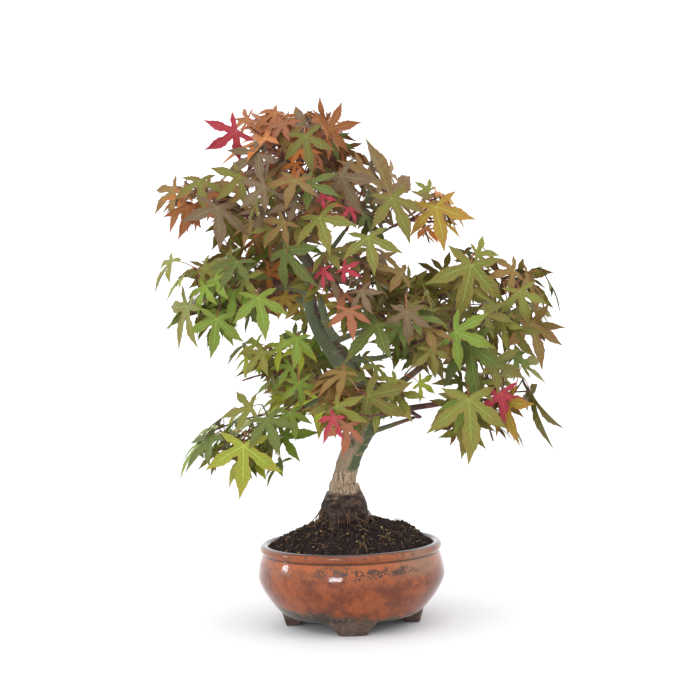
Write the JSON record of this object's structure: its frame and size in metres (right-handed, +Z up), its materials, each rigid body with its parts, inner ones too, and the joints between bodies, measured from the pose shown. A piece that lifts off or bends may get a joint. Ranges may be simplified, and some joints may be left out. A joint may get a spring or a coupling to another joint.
{
  "type": "potted bonsai japanese maple",
  "caption": "Bonsai japanese maple with a bent trunk and palmate leaves, in a round glazed bowl on short feet.",
  "frame": {"origin": "middle of the bounding box, at the height of the feet's flat undersides", "axes": "+Z up, along the height of the tree; the side that the tree is looked at from faces -Y, with the wide right-hand bough towards +X"},
  "size_m": [0.3252, 0.2294, 0.416],
  "materials": {
    "glaze": "gloss",
    "soil": "matte",
    "bark": "matte",
    "bough_bark": "satin",
    "foliage_orange": "satin",
    "foliage_bronze": "satin",
    "foliage_olive": "satin",
    "foliage_yellow": "satin",
    "foliage_green": "satin",
    "foliage_red": "satin"
  },
  "bodies": {
    "root": {"pot": "glaze", "soil": "soil", "trunk": "bark", "bough_right_low": "bough_bark", "bough_right_front": "bough_bark", "bough_right_middle": "bough_bark", "bough_right_shoulder": "bough_bark", "bough_left_low": "bough_bark", "bough_left_middle": "bough_bark", "bough_left_up": "bough_bark", "bough_upper_left": "bough_bark", "bough_upper_front": "bough_bark", "bough_upper_right": "bough_bark", "bough_right_spur": "bough_bark", "bough_centre_front": "bough_bark", "bough_back_right": "bough_bark", "bough_back_left": "bough_bark", "bough_back_low": "bough_bark", "bough_back_top": "bough_bark", "leaves_crown_top": "foliage_orange", "leaves_upper_left": "foliage_bronze", "leaves_upper_front": "foliage_bronze", "leaves_upper_right": "foliage_olive", "leaves_right_spur": "foliage_yellow", "leaves_left_up": "foliage_green", "leaves_centre_front": "foliage_red", "leaves_right_middle": "foliage_olive", "leaves_right_shoulder": "foliage_olive", "leaves_right_low": "foliage_olive", "leaves_left_middle": "foliage_green", "leaves_left_low": "foliage_yellow", "leaves_right_front": "foliage_olive", "leaves_back_left": "foliage_olive", "leaves_back_right": "foliage_olive", "leaves_back_top": "foliage_bronze", "leaves_back_low": "foliage_green"}
  },
  "joints": []
}
